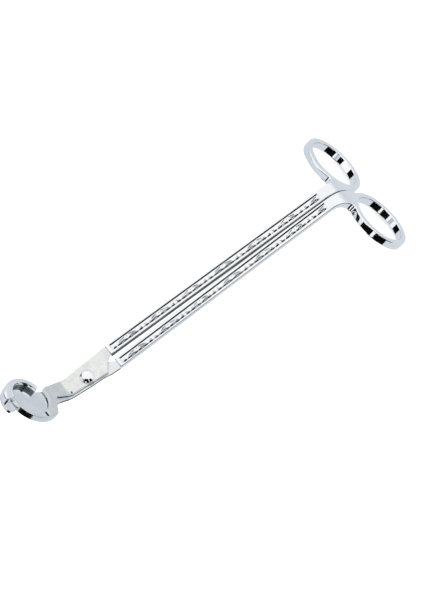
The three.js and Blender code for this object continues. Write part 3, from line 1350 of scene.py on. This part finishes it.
@dataclass
class Studio:
    """White surroundings, pale floor, black cards and the camera."""

    pivot: Vector  # where the rivet's axis meets the middle of the lap
    toward: Vector = field(default_factory=lambda: Vector((-0.118, -0.288, 0.950)).normalized())
    roll: float = -36.366
    shift_mm: Point = (49.30, -30.61)  # the view's middle from the pivot, right and down
    tall_mm: float = 237.0  # what the view's height spans
    distance: float = 6.0
    sensor_mm: float = 36.0
    sky: str = "FFFFFF"
    ground: str = "D6DBE1"
    strength: float = 1.06
    sun: float = 2.4
    sun_spread: float = 90.0
    horizon: Point = (-0.02, 0.42)  # height of direction where ground ends and sky begins
    reach: float = 9.0
    flags: tuple[Flag, ...] = (
        Flag((172, 213), (12, 42), 12),
        Flag((190, 258), (30, 60)),
        Flag((228, 262), (-10, 40), -14),
        Flag((266, 300), (-14, 47)),
        Flag((111, 131), (-6, 20), 24),
        Flag((186, 230), (-20, 11), 6),
    )

    def build(self, floor_height: float) -> None:
        """Sets up everything round the object.

        Args:
            floor_height: where the floor lies.
        """
        self.world()
        self.floor(floor_height)
        black = bpy.data.materials.new("matt_black_card")
        tree = empty_tree(black)
        paint = add_node(tree, "ShaderNodeBsdfDiffuse", {"Color": srgb("060606")})
        add_node(tree, "ShaderNodeOutputMaterial", {"Surface": paint.outputs["BSDF"]})
        for i, flag in enumerate(self.flags):
            flag.build(f"flag_{i + 1}", black)
        self.lamp()
        self.camera()
        bpy.context.scene.view_settings.view_transform = "Standard"

    def world(self) -> None:
        """Surrounds the object with soft white above and pale blue-grey below."""
        world = bpy.data.worlds.new("white_tent")
        bpy.context.scene.world = world
        tree = empty_tree(world)
        place = add_node(tree, "ShaderNodeTexCoord").outputs["Generated"]
        height = add_node(tree, "ShaderNodeSeparateXYZ", {0: place}).outputs["Z"]
        colour = mixed(tree, remap(tree, height, self.horizon), self.ground, self.sky)
        light = add_node(tree, "ShaderNodeBackground", {"Color": colour, "Strength": self.strength})
        add_node(tree, "ShaderNodeOutputWorld", {"Surface": light.outputs["Background"]})

    def floor(self, height: float) -> None:
        """Lays the pale floor, which the chrome doesn't mirror.

        Args:
            height: the floor's z.
        """
        r = self.reach
        mesh = bpy.data.meshes.new("pale_floor")
        corners = [(-r, -r, height), (r, -r, height), (r, r, height), (-r, r, height)]
        mesh.from_pydata(corners, [], [(0, 1, 2, 3)])
        floor = add_object("pale_floor", mesh)
        floor.visible_glossy = False
        material = bpy.data.materials.new("matt_white_board")
        material.use_nodes = True
        shader = material.node_tree.nodes["Principled BSDF"]
        shader.inputs["Base Color"].default_value = srgb("F6F6F6")
        shader.inputs["Roughness"].default_value = 0.9
        shader.inputs["Specular IOR Level"].default_value = 0.0
        mesh.materials.append(material)
        floor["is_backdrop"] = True

    def lamp(self) -> None:
        """Hangs the broad overhead lamp that keeps the floor white."""
        data = bpy.data.lights.new("overhead", "SUN")
        data.energy = self.sun
        data.angle = math.radians(self.sun_spread)
        add_object("overhead", data).visible_glossy = False

    def camera(self) -> None:
        """Places the long lens that looks along the view direction."""
        across = (Vector((1, 0, 0)) - self.toward * self.toward.x).normalized()
        down = -self.toward.cross(across)
        turn = math.radians(self.roll)
        right = across * math.cos(turn) - down * math.sin(turn)
        below = across * math.sin(turn) + down * math.cos(turn)
        middle = self.pivot + (right * self.shift_mm[0] + below * self.shift_mm[1]) * MM
        data = bpy.data.cameras.new("long_lens")
        data.sensor_width = self.sensor_mm
        data.lens = self.sensor_mm * self.distance / (self.tall_mm * MM)
        data.clip_end = 100.0
        camera = add_object("long_lens", data)
        axes = Matrix((right, -below, self.toward)).transposed()
        camera.matrix_world = Matrix.Translation(middle + self.toward * self.distance) @ axes.to_4x4()
        bpy.context.scene.camera = camera


# ---- the trimmer ----


def trimmer() -> list[SubAssembly]:
    """Draws up the tool.

    Returns:
        Its sub-assemblies, in the order they are made.
    """
    # the ornament's steep slopes get the painted shade
    shaded_slopes = {Skin.SHADED_SLOPE: PAINTED_SHADE_DARK}
    # blade sides get the painted shade; sides set apart as RECESS stay bright
    blade_edges = {Skin.SIDE: PAINTED_SHADE_DARK, Skin.RECESS: BRIGHT_SHEET}
    washer = (Lever.HOOK, Slot.WASHER, PUNCHED)
    return [
        Handle(
            CastPiece("upper_handle_casting", "upper_handle", Lever.HOOK, Slot.POLISHED, CHROME, shaded_slopes),
            side=1,
            inner=((13.3, 1.3), (110, 0.85), (129, 0.75)),
            outer=((13.3, 6.0), (120, 5.6)),
            ring=(140.0, 14.7),
            panel_top=(5.15, 4.7),
        ),
        Handle(
            CastPiece(
                "lower_handle_casting", "lower_handle", Lever.TRAY, Slot.POLISHED, CHROME, shaded_slopes, toward=1
            ),
            side=-1,
            inner=((13.3, -1.0), (32, -0.4), (55, 0.0), (80, 0.3), (110, 0.4), (129, 0.45)),
            outer=((13.3, -5.3), (120, -4.35)),
            ring=(141.3, -15.1),
            panel_top=(-1.75, -0.3),
        ),
        HookBlade(
            Piece(
                "hook_blade_sheet", "hook_blade", Lever.HOOK, Slot.SATIN, SATIN, blade_edges,
                relief=(-21.2, -7.3, 1.8, 0.8),
            )
        ),
        TrayPlate(
            Piece("tray_plate_sheet", "tray_plate", Lever.TRAY, Slot.SATIN, BRIGHT_SHEET, blade_edges)
        ),
        # the guard's bore wall takes the painted shade
        TrayGuard(
            Piece("tray_guard_wall", "tray_guard", Lever.TRAY, Slot.POLISHED, CHROME, {Skin.RECESS: PAINTED_SHADE_BORE})
        ),
        Turned(Piece("pivot_rivet_domed", "pivot_rivet", Lever.HOOK, Slot.RIVET, TUMBLED), rivet_section()),
        Turned(
            Piece("rear_washer_punched", "rear_washer", *washer), washer_section(-2.15, -1.65), closed=True
        ),
        Turned(
            Piece("spacer_washer_punched", "spacer_washer", *washer), washer_section(-0.15, 0.15), closed=True
        ),
    ]


def main() -> None:
    logging.basicConfig(level=logging.INFO, format="%(name)s: %(message)s")
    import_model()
    cad_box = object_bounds()
    low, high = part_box("spacer_washer")
    pivot = (Vector(low) + Vector(high)) / 2
    former = Former(lap=pivot.z)
    for part in trimmer():
        body = part.build(former)
        log.info("%s: %d faces, on %s", body.name, len(body.data.polygons), part.piece.lever.value)
    Studio(pivot).build(cad_box[0].z - FLOOR_GAP)


if __name__ == "__main__":
    main()
